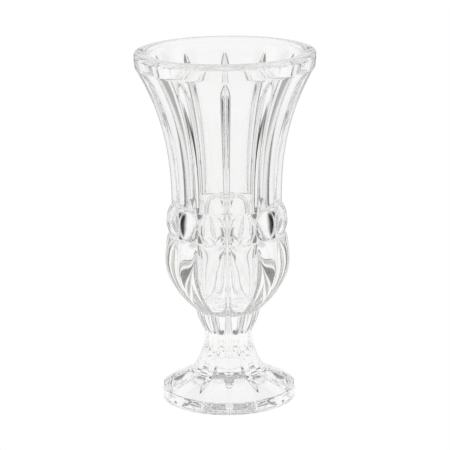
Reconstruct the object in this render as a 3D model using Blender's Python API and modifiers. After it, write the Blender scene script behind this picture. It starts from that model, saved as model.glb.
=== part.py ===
# Footed crystal vase: a pressed bowl, a collar, a stem and a foot of clear glass, fused hot into one.
# Every outer surface carries the same twelve lobes, with a crease between neighbours on the +X axis.

import math

import bpy

# Driving dimensions, in metres
HEIGHT = 0.300
FOOT_RADIUS = 0.0575
FOOT_RIM_HEIGHT = 0.0085
FOOT_NECK_RADIUS = 0.0320
STEM_RADIUS = 0.0208
STEM_CREASE = 0.0011
COLLAR_RADIUS = 0.0275
BULB_RADIUS = 0.0540
BELT_RADIUS = 0.0524
WAIST_RADIUS = 0.0468
MOUTH_RADIUS = 0.0760

# Heights where one form ends and the next begins
FOOT_TOP = 0.024
STEM_TOP = 0.059
COLLAR_TOP = 0.077
BULB_TOP = 0.1445
BELT_TOP = 0.170
BAND_BOTTOM = 0.287

# Inside of the bowl
CAVITY_FLOOR = 0.088
CAVITY_RISE = 0.056
CAVITY_RADIUS = 0.0345
CAVITY_MOUTH_RADIUS = 0.065

# Twelve lobes and the faces round each one
LOBES = 12
STEPS_PER_LOBE = 6
LOBE_ANGLE = 2 * math.pi / LOBES

JOINT_GAP = 0.0003
FOOT_SCALLOP = 0.0006
LIP_ROUND = 0.0025
FLARE_POWER = 2.4
CREASE_SHARPNESS = 2.5


def clear_scene():
    for obj in list(bpy.data.objects):
        bpy.data.objects.remove(obj, do_unlink=True)


def glass(name, colour, roughness):
    """A clear glass, told from its neighbours by a slight tint."""
    material = bpy.data.materials.new(name)
    material.use_nodes = True
    shader = material.node_tree.nodes["Principled BSDF"]
    shader.inputs["Base Color"].default_value = (*colour, 1.0)
    shader.inputs["Roughness"].default_value = roughness
    shader.inputs["Metallic"].default_value = 0.0
    shader.inputs["IOR"].default_value = 1.52
    shader.inputs["Transmission Weight"].default_value = 1.0
    return material


def steps(start, end, count):
    """Evenly spaced values from start to end, both included."""
    return [start + (end - start) * i / count for i in range(count + 1)]


def arch(share):
    """0 at both ends of a form, 1 at its middle."""
    return math.sin(math.pi * min(max(share, 0.0), 1.0))


def rounded_edge(centre_radius, centre_height, size, start, end, count):
    """Points round a quarter or half circle, with angles in degrees from the outward direction."""
    points = []
    for angle in steps(math.radians(start), math.radians(end), count):
        points.append((centre_radius + size * math.cos(angle), centre_height + size * math.sin(angle), 0.0))
    return points


# Each outline below is a list of (radius at the crest, height, depth of the crease), from top to bottom.


def lip_outline():
    """The fire-polished lip, from its inner edge over the top to the band."""
    inner = rounded_edge(CAVITY_MOUTH_RADIUS + LIP_ROUND, HEIGHT - LIP_ROUND, LIP_ROUND, 180, 90, 3)
    outer = rounded_edge(MOUTH_RADIUS - LIP_ROUND, HEIGHT - LIP_ROUND, LIP_ROUND, 90, 0, 3)
    return inner + outer


def trumpet_outline():
    """The smooth band under the lip, and the twelve columns down to the waist."""
    flare = 0.0276
    crease_at_waist = 0.0012
    crease_at_band = 0.0022
    groove_length = 0.015
    points = [(MOUTH_RADIUS, HEIGHT - 0.0055, 0.0), (MOUTH_RADIUS - 0.0008, HEIGHT - 0.0095, 0.0)]
    for height in steps(BAND_BOTTOM, BELT_TOP, 13):
        share = (height - BELT_TOP) / (BAND_BOTTOM - BELT_TOP)
        crease = crease_at_waist + (crease_at_band - crease_at_waist) * share
        depth = crease * min(1.0, (BAND_BOTTOM - height) / groove_length)
        points.append((WAIST_RADIUS + flare * share**FLARE_POWER, height, depth))
    return points


def belt_outline():
    """The ring of twelve rounded bosses."""
    groove = 0.0470
    least_crease = 0.0006
    points = []
    for height in steps(BELT_TOP - 0.001, BULB_TOP + 0.001, 8):
        bulge = (BELT_RADIUS - groove) * arch((height - BULB_TOP) / (BELT_TOP - BULB_TOP)) ** 0.7
        points.append((groove + bulge, height, least_crease + 0.9 * bulge))
    return points


def bulb_outline():
    """The gadrooned lower bowl: a quarter ellipse above its widest level, and a longer one below."""
    widest = 0.124
    shoulder_radius = 0.0484
    bottom_radius = COLLAR_RADIUS - 0.0005
    crease = 0.0055
    bottom_crease = 0.0024
    points = []
    for turn in steps(0.15, 1.0, 5):
        radius = shoulder_radius + (BULB_RADIUS - shoulder_radius) * math.sin(turn * math.pi / 2)
        height = widest + (BULB_TOP - widest) * math.cos(turn * math.pi / 2)
        points.append((radius, height, crease * turn**0.5))
    for height in steps(widest - 0.006, COLLAR_TOP + JOINT_GAP, 8):
        share = (widest - height) / (widest - COLLAR_TOP)
        radius = BULB_RADIUS - (BULB_RADIUS - bottom_radius) * share**2.1
        points.append((radius, height, crease + (bottom_crease - crease) * share))
    return points


def cavity_outline():
    """The plunger's shape, from the middle of the cavity's floor up to the lip."""
    points = [(0.0, CAVITY_FLOOR, 0.0)]
    for turn in steps(0.15, 1.0, 8):
        radius = CAVITY_RADIUS * math.sin(turn * math.pi / 2)
        points.append((radius, CAVITY_FLOOR + CAVITY_RISE * (1 - math.cos(turn * math.pi / 2)), 0.0))
    flare = CAVITY_MOUTH_RADIUS - CAVITY_RADIUS
    for height in steps(BELT_TOP, HEIGHT - LIP_ROUND - 0.004, 9):
        share = (height - BELT_TOP) / (HEIGHT - LIP_ROUND - BELT_TOP)
        points.append((CAVITY_RADIUS + flare * share**2.2, height, 0.0))
    return points


def bowl_outline():
    underside = [(0.0, COLLAR_TOP + JOINT_GAP, 0.0)]
    outer = lip_outline() + trumpet_outline() + belt_outline() + bulb_outline() + underside
    return cavity_outline() + outer


def collar_outline():
    """A cup-shaped knop: its petals swell towards the bowl and end at the top of the stem."""
    bottom = STEM_TOP + JOINT_GAP
    lip = 0.0008
    crease = 0.0022
    points = [(0.0, COLLAR_TOP, 0.0), (COLLAR_RADIUS - lip, COLLAR_TOP, crease)]
    for height in steps(COLLAR_TOP - lip, bottom, 8):
        share = (COLLAR_TOP - lip - height) / (COLLAR_TOP - lip - bottom)
        radius = COLLAR_RADIUS - (COLLAR_RADIUS - STEM_RADIUS) * share**2
        points.append((radius, height, crease + (STEM_CREASE - crease) * share))
    points.append((0.0, bottom, 0.0))
    return points


def stem_outline():
    """A fluted stem, waisted at the top and flaring to the foot."""
    bottom = FOOT_TOP + JOINT_GAP
    points = [(0.0, STEM_TOP, 0.0), (STEM_RADIUS, STEM_TOP, STEM_CREASE)]
    for height in steps(STEM_TOP - 0.004, bottom, 8):
        share = (STEM_TOP - height) / (STEM_TOP - bottom)
        radius = STEM_RADIUS + (FOOT_NECK_RADIUS - STEM_RADIUS) * share**2.6
        points.append((radius, height, STEM_CREASE * (1 + 0.4 * share)))
    points.append((0.0, bottom, 0.0))
    return points


def foot_outline():
    """The spreading foot: a grooved cone, a thick rim, a flat resting ring and a hollow below."""
    shoulder = 0.003
    heel = 0.001
    ring_width = 0.005
    hollow_height = 0.016
    crease = 0.0018
    shoulder_height = FOOT_RIM_HEIGHT + 0.8 * shoulder
    shoulder_radius = FOOT_RADIUS - 0.4 * shoulder
    points = [(0.0, FOOT_TOP, 0.0)]
    for share in steps(0.0, 1.0, 8):
        height = FOOT_TOP + (shoulder_height - FOOT_TOP) * share
        radius = FOOT_NECK_RADIUS + (shoulder_radius - FOOT_NECK_RADIUS) * share
        points.append((radius, height, crease * (1 - share) + FOOT_SCALLOP))
    points.append((FOOT_RADIUS, FOOT_RIM_HEIGHT, FOOT_SCALLOP))
    points.append((FOOT_RADIUS, heel, FOOT_SCALLOP))
    points.append((FOOT_RADIUS - heel, 0.0, FOOT_SCALLOP))
    hollow_radius = FOOT_RADIUS - heel - ring_width
    for share in steps(0.0, 0.9, 6):
        points.append((hollow_radius * (1 - share), hollow_height * (1 - (1 - share) ** 1.4), 0.0))
    points.append((0.0, hollow_height, 0.0))
    return points


def turned(name, outline, collection):
    """Turns an outline about the vase's axis, keeping each point's crease depth on the mesh."""
    profile = bpy.data.meshes.new(name + "_profile")
    corners = [(radius, 0.0, height) for radius, height, depth in outline]
    edges = [(i, i + 1) for i in range(len(corners) - 1)]
    profile.from_pydata(corners, edges, [])
    depths = profile.attributes.new("crease_depth", "FLOAT", "POINT")
    for item, (radius, height, depth) in zip(depths.data, outline):
        item.value = depth
    obj = bpy.data.objects.new(name, profile)
    collection.objects.link(obj)
    screw = obj.modifiers.new("turn", "SCREW")
    screw.axis = "Z"
    screw.steps = LOBES * STEPS_PER_LOBE
    screw.render_steps = LOBES * STEPS_PER_LOBE
    screw.use_merge_vertices = True
    screw.merge_threshold = 0.00001
    return obj


def press_lobes(obj):
    """Applies the turning, then draws the surface in beside each crease, deepest on it."""
    graph = bpy.context.evaluated_depsgraph_get()
    mesh = bpy.data.meshes.new_from_object(obj.evaluated_get(graph))
    obj.modifiers.clear()
    obj.data = mesh
    depths = mesh.attributes["crease_depth"].data
    for vertex in mesh.vertices:
        radius = math.hypot(vertex.co.x, vertex.co.y)
        if radius < JOINT_GAP:
            continue
        turn = math.atan2(vertex.co.y, vertex.co.x) / LOBE_ANGLE
        across = abs(2 * (turn - math.floor(turn)) - 1)
        pressed = (radius - depths[vertex.index].value * across**CREASE_SHARPNESS) / radius
        vertex.co.x *= pressed
        vertex.co.y *= pressed
    mesh.shade_smooth()
    mesh.set_sharp_from_angle(angle=math.radians(40))


def glass_piece(name, outline, colour, collection):
    obj = turned(name, outline, collection)
    press_lobes(obj)
    obj.data.materials.append(glass(name + "_glass", colour, 0.02))
    return obj


def main():
    clear_scene()
    vase = bpy.data.collections.new("crystal_vase")
    bpy.context.scene.collection.children.link(vase)
    glass_piece("bowl", bowl_outline(), (0.96, 0.97, 0.98), vase)
    glass_piece("collar", collar_outline(), (0.94, 0.96, 0.97), vase)
    glass_piece("stem", stem_outline(), (0.95, 0.97, 0.98), vase)
    glass_piece("foot", foot_outline(), (0.96, 0.97, 0.97), vase)


main()
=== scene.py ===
import math

import bpy
from mathutils import Matrix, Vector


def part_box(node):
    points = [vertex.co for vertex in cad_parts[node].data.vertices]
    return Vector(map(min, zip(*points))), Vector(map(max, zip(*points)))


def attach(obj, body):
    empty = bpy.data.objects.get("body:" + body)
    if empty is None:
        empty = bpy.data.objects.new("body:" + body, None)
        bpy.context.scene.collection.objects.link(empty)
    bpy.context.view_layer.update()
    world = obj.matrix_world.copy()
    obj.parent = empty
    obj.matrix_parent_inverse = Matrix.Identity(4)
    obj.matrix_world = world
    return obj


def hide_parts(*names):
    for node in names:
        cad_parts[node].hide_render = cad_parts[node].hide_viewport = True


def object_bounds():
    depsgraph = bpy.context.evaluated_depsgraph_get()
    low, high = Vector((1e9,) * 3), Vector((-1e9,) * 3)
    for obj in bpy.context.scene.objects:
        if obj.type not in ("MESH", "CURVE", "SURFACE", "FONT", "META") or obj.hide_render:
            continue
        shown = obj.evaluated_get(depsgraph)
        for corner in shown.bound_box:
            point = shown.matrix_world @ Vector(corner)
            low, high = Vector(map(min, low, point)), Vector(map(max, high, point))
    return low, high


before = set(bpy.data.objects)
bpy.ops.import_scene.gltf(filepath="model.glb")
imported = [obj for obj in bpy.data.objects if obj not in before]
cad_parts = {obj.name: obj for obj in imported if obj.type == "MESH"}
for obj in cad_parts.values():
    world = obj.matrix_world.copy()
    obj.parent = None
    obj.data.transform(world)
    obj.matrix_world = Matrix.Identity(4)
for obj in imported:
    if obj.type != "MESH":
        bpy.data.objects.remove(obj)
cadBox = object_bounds()
print("frame loaded:", ", ".join(sorted(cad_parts)))

# Heights and outer radii come from the frame, and every other size is in metres beside its piece.
restZ = cadBox[0].z
topZ = cadBox[1].z
mouthRadius = cadBox[1].x
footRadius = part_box("foot")[1].x
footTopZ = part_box("foot")[1].z
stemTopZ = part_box("stem")[1].z
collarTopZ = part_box("collar")[1].z

lobes = 12
stepsPerLobe = 28
crowding = 0.45  # how much closer together the steps are beside a crease than on a crest


def blend(start, end, share):
    return start + (end - start) * share


def eased(low, high, value):
    share = min(max((value - low) / (high - low), 0.0), 1.0)
    return share * share * (3 - 2 * share)


def shares(count):
    return [step / count for step in range(count + 1)]


def lobePlaces():
    # (angle, across) all the way round: across is 0 on a lobe's crest, and -1 and 1 in its creases
    places = []
    for lobe in range(lobes):
        for step in range(stepsPerLobe):
            even = 2 * step / stepsPerLobe - 1
            across = even + crowding * math.sin(math.pi * even) / math.pi
            places.append(((lobe + (across + 1) / 2) * math.tau / lobes, across))
    return places


places = lobePlaces()


def shareOfLobe(width, radius):
    return width / (radius * math.pi / lobes)


class Skin:
    # Rings in order along the surface of the glass, joined into one sheet. The four pieces of the vase
    # are fused, so their skins share the rings where they meet, and no wall of glass closes a joint.
    def __init__(self, name):
        self.name = name
        self.rows = []
        self.creases = []

    def ring(self, radius, height, relief=None, tilt=0.0):
        # the relief stands out level at tilt 0, and straight up at a quarter turn
        row = []
        creases = []
        for angle, across in places:
            out = relief(across) if relief else 0.0
            r = radius + out * math.cos(tilt)
            row.append((r * math.cos(angle), r * math.sin(angle), height + out * math.sin(tilt)))
            creases.append(abs(across) if relief else 0.0)
        closed = radius == 0
        self.rows.append(row[:1] if closed else row)
        self.creases.append(creases[:1] if closed else creases)

    def arc(self, radius, height, size, start, end, count, relief=None):
        # a rounded edge about (radius, height), with its turns in degrees up from the outward direction
        for share in shares(count):
            turn = math.radians(blend(start, end, share))
            self.ring(radius + size * math.cos(turn), height + size * math.sin(turn), relief)

    def faces(self):
        around = len(places)
        found = []
        start = 0
        for upper, lower in zip(self.rows, self.rows[1:]):
            below = start + len(upper)
            for i in range(around):
                j = (i + 1) % around
                if len(upper) == 1:
                    found.append((start, below + i, below + j))
                elif len(lower) == 1:
                    found.append((start + i, below, start + j))
                else:
                    found.append((start + i, below + i, below + j, start + j))
            start = below
        return found

    def build(self):
        mesh = bpy.data.meshes.new(self.name)
        mesh.from_pydata([point for row in self.rows for point in row], [], self.faces())
        mesh.update()
        nearCrease = mesh.attributes.new("nearCrease", "FLOAT", "POINT")
        nearCrease.data.foreach_set("value", [value for row in self.creases for value in row])
        mesh.shade_smooth()
        piece = bpy.data.objects.new(self.name, mesh)
        bpy.context.scene.collection.objects.link(piece)
        return piece


# Reliefs say how far the surface stands out at a place across the lobe.
def plain(across):
    return 0.0


def ribbed(depth, fullness, gap):
    # a round-backed rib, with a flat fillet of the given share beside each crease
    lowest = 1 - math.sqrt(1 - fullness**2)

    def relief(across):
        share = min(abs(across) / (1 - gap), 1.0)
        return -depth * (1 - math.sqrt(1 - (fullness * share) ** 2)) / lowest

    return relief


def mitred(depth, width, bow):
    # a V cut along the crease, in a face that bows outwards
    def relief(across):
        cut = max(abs(across) - 1 + width, 0.0) / max(width, 1e-6)
        return -bow * across * across - depth * cut

    return relief


def rayed(depth, rays):
    # fine grooves, the given number of them to a lobe
    return lambda across: -depth * abs(math.sin(rays * math.pi * (across + 1) / 2))


def added(first, second):
    return lambda across: first(across) + second(across)


def mixed(first, second, share):
    return lambda across: blend(first(across), second(across), share)


bowl = {
    "lipRound": 0.003,
    "lipInner": 0.0655,  # where the flat of the lip meets the cavity's rounded edge
    "bandBottom": 0.2865,
    "bandStep": 0.0003,
    "waistZ": 0.170,
    "waistRadius": 0.0466,
    "flare": 0.0282,
    "flarePower": 2.35,
    "cutAtWaist": 0.0021,
    "cutAtTop": 0.0044,
    "cutSlope": 0.75,
    "cutPointLength": 0.015,
    "columnBow": 0.0002,
    "cavityRadius": 0.0348,
    "cavityFloorZ": 0.088,
    "cavityRise": 0.056,
    "cavityPower": 2.35,
}

belt = {
    "topRadius": 0.0454,
    "bottomRadius": 0.0474,
    "crestRadius": 0.0522,
    "bottomZ": 0.1445,
    "topSquareness": 1.8,
    "bottomSquareness": 2.2,
    "sideSquareness": 2.0,
    "fullness": 0.85,
}

bulb = {
    "shoulderRadius": 0.0484,
    "radius": 0.0538,
    "widestZ": 0.124,
    "bottomRadius": 0.0268,
    "fall": 2.0,
    "depth": 0.0066,
    "bottomDepth": 0.0028,
    "fullness": 1.0,
    "gap": 0.12,
    "shoulderStart": 0.1,  # a share of the quarter turn from the belt to the widest level
    "ribStart": -0.2,
    "ribFull": 0.75,
}


def bossed(height, along):
    # an oval boss: along runs from -1 at its top to 1 at its bottom
    squareness = belt["bottomSquareness"] if along > 0 else belt["topSquareness"]

    def relief(across):
        inside = 1 - abs(across) ** belt["sideSquareness"] - abs(along) ** squareness
        return height * max(inside, 0.0) ** belt["fullness"]

    return relief


def bulbRib(depth):
    return ribbed(depth, bulb["fullness"], bulb["gap"])


def cavityRings(skin):
    # the plunger's shape: a deep round bottom, a straight wall and a flare to the lip
    floorZ, rise, radius = bowl["cavityFloorZ"], bowl["cavityRise"], bowl["cavityRadius"]
    skin.ring(0.0, floorZ)
    for t in shares(22)[1:]:
        turn = t * math.pi / 2
        skin.ring(radius * math.sin(turn), floorZ + rise * (1 - math.cos(turn)))
    for t in shares(10)[1:]:
        skin.ring(radius, blend(floorZ + rise, bowl["waistZ"], t))
    for t in shares(40)[1:]:
        flared = blend(radius, bowl["lipInner"], t ** bowl["cavityPower"])
        skin.ring(flared, blend(bowl["waistZ"], topZ - bowl["lipRound"], t))


def lipRings(skin):
    size = bowl["lipRound"]
    skin.arc(bowl["lipInner"] + size, topZ - size, size, 180, 90, 6)
    skin.arc(mouthRadius - size, topZ - size, size, 90, 0, 6)


def bandRings(skin):
    bottomRadius = bowl["waistRadius"] + bowl["flare"] + bowl["bandStep"]
    for t in shares(8)[1:]:
        z = blend(topZ - bowl["lipRound"], bowl["bandBottom"], t)
        skin.ring(blend(mouthRadius, bottomRadius, t * t), z)


def trumpetRings(skin):
    # twelve columns, with a V cut between neighbours that ends in a point under the band
    bandGap = 0.0004
    for t in shares(80):
        share = 1 - t
        z = blend(bowl["waistZ"], bowl["bandBottom"] - bandGap, share)
        radius = bowl["waistRadius"] + bowl["flare"] * share ** bowl["flarePower"]
        fromPoint = min((bowl["bandBottom"] - z) / bowl["cutPointLength"], 1.0)
        width = blend(bowl["cutAtWaist"], bowl["cutAtTop"], share) * (1 - (1 - fromPoint) ** 2)
        cut = mitred(width * bowl["cutSlope"], shareOfLobe(width, radius), bowl["columnBow"])
        skin.ring(radius, z, cut)


def beltRings(skin):
    edgeGap = 0.0002
    for t in shares(44):
        z = blend(bowl["waistZ"] - edgeGap, belt["bottomZ"] + edgeGap, t)
        base = blend(belt["topRadius"], belt["bottomRadius"], t)
        skin.ring(base, z, bossed(belt["crestRadius"] - base, 2 * t - 1))


def bulbRings(skin):
    # twelve gadroons: a quarter ellipse down to the widest level, then a long fall to the collar
    for t in shares(24):
        turn = blend(bulb["shoulderStart"], 1.0, t) * math.pi / 2
        radius = blend(bulb["shoulderRadius"], bulb["radius"], math.sin(turn))
        z = blend(bulb["widestZ"], belt["bottomZ"], math.cos(turn))
        skin.ring(radius, z, bulbRib(bulb["depth"] * eased(bulb["ribStart"], bulb["ribFull"], t)))
    for t in shares(44)[1:]:
        radius = blend(bulb["radius"], bulb["bottomRadius"], t ** bulb["fall"])
        depth = blend(bulb["depth"], bulb["bottomDepth"], t)
        skin.ring(radius, blend(bulb["widestZ"], collarTopZ, t), bulbRib(depth))


def makeBowl():
    skin = Skin("bowlGlass")
    cavityRings(skin)
    lipRings(skin)
    bandRings(skin)
    trumpetRings(skin)
    beltRings(skin)
    bulbRings(skin)
    return skin.build()


collar = {
    "lip": 0.0008,
    "cup": 1.4,
}

stem = {
    "radius": 0.0208,
    "flare": 0.0112,
    "flarePower": 2.6,
    "cutWidth": 0.0028,
    "cutSlope": 0.8,
    "bow": 0.0003,
    "cutGrowth": 0.4,
}


def stemCut(radius, growth=1.0):
    width = stem["cutWidth"] * growth
    return mitred(width * stem["cutSlope"], shareOfLobe(width, radius), stem["bow"])


def makeCollar():
    # a cup whose petals carry the gadroons on and turn into the flutes of the stem
    skin = Skin("collarGlass")
    petals = bulbRib(bulb["bottomDepth"])
    flutes = stemCut(stem["radius"])
    lip = collar["lip"]
    skin.ring(bulb["bottomRadius"], collarTopZ, petals)
    skin.arc(bulb["bottomRadius"], collarTopZ - lip, lip, 85, 5, 4, petals)
    for t in shares(32):
        radius = blend(stem["radius"], bulb["bottomRadius"] + lip, 1 - t ** collar["cup"])
        skin.ring(radius, blend(collarTopZ - lip, stemTopZ, t), mixed(petals, flutes, t))
    return skin.build()


def makeStem():
    skin = Skin("stemGlass")
    for t in shares(40):
        radius = stem["radius"] + stem["flare"] * t ** stem["flarePower"]
        skin.ring(radius, blend(stemTopZ, footTopZ, t), stemCut(radius, 1 + stem["cutGrowth"] * t))
    return skin.build()


foot = {
    "slope": 1.06,
    "rimHeight": 0.0087,
    "shoulder": 0.0032,
    "heel": 0.001,
    "restingRing": 0.0066,
    "hollow": 0.0185,
    "hollowPower": 1.8,
    "cutWidth": 0.0045,
    "cutSlope": 0.7,
    "bow": 0.0006,
    "leafPoint": 0.86,  # how far down the cone the cuts run to their points
    "leafPower": 0.74,
    "stemFade": 0.2,  # how far down the cone the stem's flutes have turned into leaves
    "scallop": 0.0009,
    "scallopFullness": 0.8,
    "rays": 3,
    "rayDepth": 0.0004,
    "cadScallop": 0.0004,  # the frame's box is measured across the foot's creases
}


def footConeRings(skin, lowRadius, lowZ, cone, scalloped):
    # each cut runs on from the stem as a leaf and comes to a point before the rim
    topRadius = stem["radius"] + stem["flare"]
    for t in shares(60):
        radius = blend(topRadius, lowRadius, t ** foot["slope"])
        leaf = max(1 - t / foot["leafPoint"], 0.0) ** foot["leafPower"]
        width = foot["cutWidth"] * leaf
        cut = mitred(width * foot["cutSlope"], shareOfLobe(width, radius), foot["bow"])
        leftStem = eased(0, foot["stemFade"], t)
        nearRim = eased(foot["leafPoint"], 1, t)
        relief = mixed(mixed(stemCut(radius, 1 + stem["cutGrowth"]), cut, leftStem), scalloped, nearRim)
        skin.ring(radius, blend(footTopZ, lowZ, t), relief, leftStem * (1 - nearRim) * cone)


def makeFoot():
    skin = Skin("footGlass")
    shoulder, heel, rimZ = foot["shoulder"], foot["heel"], foot["rimHeight"]
    edge = footRadius + foot["cadScallop"]
    cone = math.atan2(edge - stem["radius"] - stem["flare"], footTopZ - rimZ)
    lean = math.pi / 2 - cone / 2
    scalloped = ribbed(foot["scallop"], foot["scallopFullness"], 0.0)
    rim = added(scalloped, rayed(foot["rayDepth"], foot["rays"]))
    lowRadius = edge - shoulder + shoulder * math.cos(lean)
    footConeRings(skin, lowRadius, rimZ + shoulder * math.sin(lean), cone, scalloped)
    for t in shares(8)[1:]:
        turn = lean * (1 - t)
        radius = edge - shoulder + shoulder * math.cos(turn)
        skin.ring(radius, rimZ + shoulder * math.sin(turn), mixed(scalloped, rim, t))
    for t in shares(6)[1:]:
        skin.ring(edge, blend(rimZ, heel, t), rim)
    for t in shares(6)[1:]:
        turn = -t * math.pi / 2
        skin.ring(edge - heel + heel * math.cos(turn), heel + heel * math.sin(turn), mixed(rim, plain, t))
    hollowRadius = edge - heel - foot["restingRing"]
    for t in shares(32):
        skin.ring(hollowRadius * (1 - t), restZ + foot["hollow"] * (1 - (1 - t) ** foot["hollowPower"]))
    return skin.build()


class Wire:
    # a socket that takes part in sums: each operator adds its node to the same tree
    def __init__(self, tree, socket):
        self.tree = tree
        self.socket = socket

    def part(self, name):
        return Wire(self.tree, self.socket.node.outputs[name])

    def maths(self, operation, *values):
        return self.tree.node("ShaderNodeMath", {"operation": operation}, dict(enumerate(values)))

    def __add__(self, other):
        return self.maths("ADD", self, other)

    def __mul__(self, other):
        return self.maths("MULTIPLY", self, other)

    def __truediv__(self, other):
        return self.maths("DIVIDE", self, other)

    def __abs__(self):
        return self.maths("ABSOLUTE", self)


class Tree:
    def __init__(self, owner):
        owner.use_nodes = True
        self.tree = owner.node_tree
        self.tree.nodes.clear()

    def node(self, kind, settings=None, values=None, output=0):
        made = self.tree.nodes.new(kind)
        for name, setting in (settings or {}).items():
            if name == "stops":
                self.setStops(made.color_ramp.elements, setting)
            else:
                setattr(made, name, setting)
        for name, value in (values or {}).items():
            if isinstance(value, Wire):
                self.tree.links.new(value.socket, made.inputs[name])
            else:
                made.inputs[name].default_value = value
        return Wire(self, made.outputs[output]) if made.outputs else None

    def setStops(self, elements, stops):
        elements.remove(elements[1])
        for place, (position, color) in enumerate(stops):
            stop = elements[0] if place == 0 else elements.new(position)
            stop.position = position
            stop.color = (*color, 1)

    def mix(self, factor, first, second, blending="MIX"):
        # the colour sockets of a Mix node are its seventh and eighth, and its colour comes out third
        settings = {"data_type": "RGBA", "blend_type": blending}
        return self.node("ShaderNodeMix", settings, {0: factor, 6: first, 7: second}, 2)


def grey(level):
    return (level, level, level)


crystal = {
    "tint": (0.962, 0.964, 0.960),
    "ior": 1.52,
    "wavesPerMetre": 55.0,
    "waveHeight": 0.00003,
    "polishPerMetre": 1500.0,
    "polishHeight": 0.000004,
    "cutRoughness": 0.03,
    "waveStretch": 0.4,  # below 1, a texture is drawn out up the vase
    "polishStretch": 0.06,
    "cutFrom": 0.72,  # how near to a crease, from 0 on the crest to 1, the cut surface starts
    "cutTo": 0.95,
    "warmFringe": (1.0, 0.93, 0.84),
    "coolFringe": (0.88, 0.94, 1.0),
}


def crystalMaterial():
    material = bpy.data.materials.new("crystal")
    tree = Tree(material)
    c = crystal
    place = tree.node("ShaderNodeTexCoord", output="Object")
    nearCrease = tree.node("ShaderNodeAttribute", {"attribute_name": "nearCrease"}, output="Fac")

    # a mask of the cut flanks, which the wheel has left less bright than the fire-polished faces
    cut = tree.node(
        "ShaderNodeMapRange",
        {"interpolation_type": "SMOOTHSTEP"},
        {"Value": nearCrease, "From Min": c["cutFrom"], "From Max": c["cutTo"]},
    )

    # pressed glass ripples slowly down its length, and the polishing wheel leaves fine lines in the cuts
    drawn = tree.node("ShaderNodeMapping", values={"Vector": place, "Scale": (1, 1, c["waveStretch"])})
    waves = tree.node(
        "ShaderNodeTexNoise", values={"Vector": drawn, "Scale": c["wavesPerMetre"], "Detail": 1.0}
    )
    along = tree.node("ShaderNodeMapping", values={"Vector": place, "Scale": (1, 1, c["polishStretch"])})
    polish = tree.node(
        "ShaderNodeTexNoise", values={"Vector": along, "Scale": c["polishPerMetre"], "Detail": 2.0}
    )
    height = waves * c["waveHeight"] + polish * cut * c["polishHeight"]
    bump = tree.node("ShaderNodeBump", values={"Strength": 1.0, "Distance": 1.0, "Height": height})

    # a tint stands in for the colours that a cut splits from white light: warm outside, cool further in
    white = (1, 1, 1)
    warm, cool = c["warmFringe"], c["coolFringe"]
    stops = [(0.74, white), (0.80, warm), (0.86, white), (0.93, cool), (1, white)]
    fringe = tree.node(
        "ShaderNodeValToRGB",
        {"stops": stops},
        {"Fac": nearCrease},
    )
    tint = tree.mix(1.0, fringe, (*c["tint"], 1), "MULTIPLY")
    shader = tree.node(
        "ShaderNodeBsdfPrincipled",
        values={
            "Base Color": tint,
            "Roughness": cut * polish * c["cutRoughness"],
            "IOR": c["ior"],
            "Transmission Weight": 1.0,
            "Normal": bump,
        },
    )
    tree.node("ShaderNodeOutputMaterial", values={"Surface": shader})
    return material


def makeVase():
    material = crystalMaterial()
    makers = {"bowl": makeBowl, "collar": makeCollar, "stem": makeStem, "foot": makeFoot}
    for node, make in makers.items():
        piece = make()
        piece.data.materials.append(material)
        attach(piece, "root")
        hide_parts(node)
        print("made", piece.name, "with", len(piece.data.polygons), "faces")


makeVase()

floor = {"radius": 0.27, "corners": 96, "drop": 0.0005, "level": 1.0}


def makeFloor():
    mesh = bpy.data.meshes.new("floor")
    turns = [math.tau * corner / floor["corners"] for corner in range(floor["corners"])]
    rim = [(floor["radius"] * math.cos(turn), floor["radius"] * math.sin(turn), 0) for turn in turns]
    mesh.from_pydata(rim, [], [range(floor["corners"])])
    material = bpy.data.materials.new("paleFloor")
    tree = Tree(material)
    glow = tree.node("ShaderNodeEmission", values={"Color": (*grey(floor["level"]), 1)})
    tree.node("ShaderNodeOutputMaterial", values={"Surface": glow})
    mesh.materials.append(material)
    obj = bpy.data.objects.new("floor", mesh)
    obj.location.z = restZ - floor["drop"]
    bpy.context.scene.collection.objects.link(obj)


makeFloor()

studio = {
    # a white tent with black cards that stand upright beside it: angles are in degrees off the Y axis
    "front": 1.0,
    "grey": 0.25,
    "greyFrom": 14.0,
    "greyTo": 22.0,
    "bright": 1.0,
    "darkFrom": 60.0,
    "darkTo": 80.0,
    "soft": 4.0,
    "crisp": 2.0,
    "side": 1.0,
    "backDarkFrom": 115.0,
    "backDarkTo": 124.0,
    "back": 0.93,
    "dark": 0.0,
    "top": 0.35,  # how bright the tent is overhead
    "topFrom": 0.55,
    "topTo": 0.8,
    "underFrom": -0.4,  # the cards stop short of the white table
    "underTo": -0.6,
    "reflected": 0.7,
    "bounces": 32,
}


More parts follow.
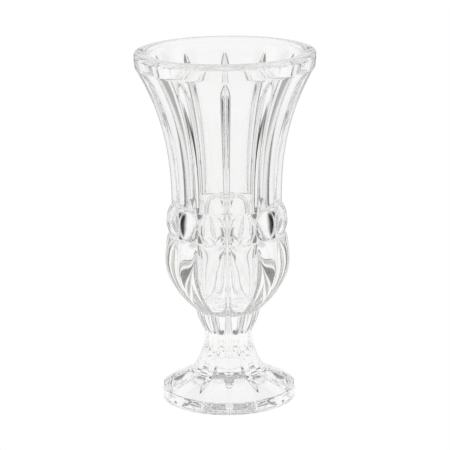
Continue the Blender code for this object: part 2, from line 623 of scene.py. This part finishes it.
def makeStudio():
    world = bpy.data.worlds.new("studio")
    bpy.context.scene.world = world
    tree = Tree(world)
    s = studio
    direction = tree.node("ShaderNodeTexCoord", output="Generated")
    split = tree.node("ShaderNodeSeparateXYZ", values={"Vector": direction})
    turn = abs(split.maths("ARCTAN2", split, split.part("Y"))) / math.pi
    levels = [
        (s["greyFrom"], s["front"]),
        (s["greyFrom"] + s["crisp"], s["grey"]),
        (s["greyTo"], s["grey"]),
        (s["greyTo"] + s["soft"] + 1, s["bright"]),
        (s["darkFrom"] - s["soft"], s["bright"]),
        (s["darkFrom"], s["dark"]),
        (s["darkTo"], s["dark"]),
        (s["darkTo"] + s["soft"], s["side"]),
        (s["backDarkFrom"] - s["soft"], s["side"]),
        (s["backDarkFrom"], s["dark"]),
        (s["backDarkTo"], s["dark"]),
        (s["backDarkTo"] + s["soft"], s["back"]),
    ]
    stops = [(degrees / 180, grey(level)) for degrees, level in levels]
    walls = tree.node("ShaderNodeValToRGB", {"stops": stops}, {"Fac": turn})
    underfoot = tree.node(
        "ShaderNodeMapRange",
        {"interpolation_type": "SMOOTHSTEP"},
        {"Value": split.part("Z"), "From Min": s["underFrom"], "From Max": s["underTo"]},
    )
    walls = tree.mix(underfoot, walls, (1, 1, 1, 1))
    overhead = tree.node(
        "ShaderNodeMapRange",
        {"interpolation_type": "SMOOTHSTEP"},
        {"Value": split.part("Z"), "From Min": s["topFrom"], "From Max": s["topTo"]},
    )
    tent = tree.mix(overhead, walls, (*grey(s["top"]), 1))
    path = tree.node("ShaderNodeLightPath", output="Is Reflection Ray")
    dimmed = tree.mix(path, tent, (*grey(s["reflected"]), 1), "MULTIPLY")
    backdrop = tree.mix(path.part("Is Camera Ray"), dimmed, (1, 1, 1, 1))
    background = tree.node("ShaderNodeBackground", values={"Color": backdrop})
    tree.node("ShaderNodeOutputWorld", values={"Surface": background})
    scene = bpy.context.scene
    scene.view_settings.view_transform = "Standard"
    scene.cycles.max_bounces = s["bounces"]
    scene.cycles.transmission_bounces = s["bounces"]
    scene.cycles.glossy_bounces = s["bounces"]


makeStudio()
print("studio lit")

camera = {
    "distance": 1.768,
    "height": 0.6008,
    "pitch": 14.3,
    "roll": 0.744,
    "sensor": 36.0,
    "lens": 172.42,
    "shift": -0.00453,
}


def makeCamera():
    data = bpy.data.cameras.new("camera")
    data.sensor_width = camera["sensor"]
    data.lens = camera["lens"]
    data.shift_x = camera["shift"]
    obj = bpy.data.objects.new("camera", data)
    obj.location = (0, -camera["distance"], camera["height"])
    tipped = Matrix.Rotation(math.radians(90 - camera["pitch"]), 4, "X")
    rolled = Matrix.Rotation(math.radians(-camera["roll"]), 4, "Z")
    obj.rotation_euler = (tipped @ rolled).to_euler()
    bpy.context.scene.collection.objects.link(obj)
    bpy.context.scene.camera = obj


makeCamera()
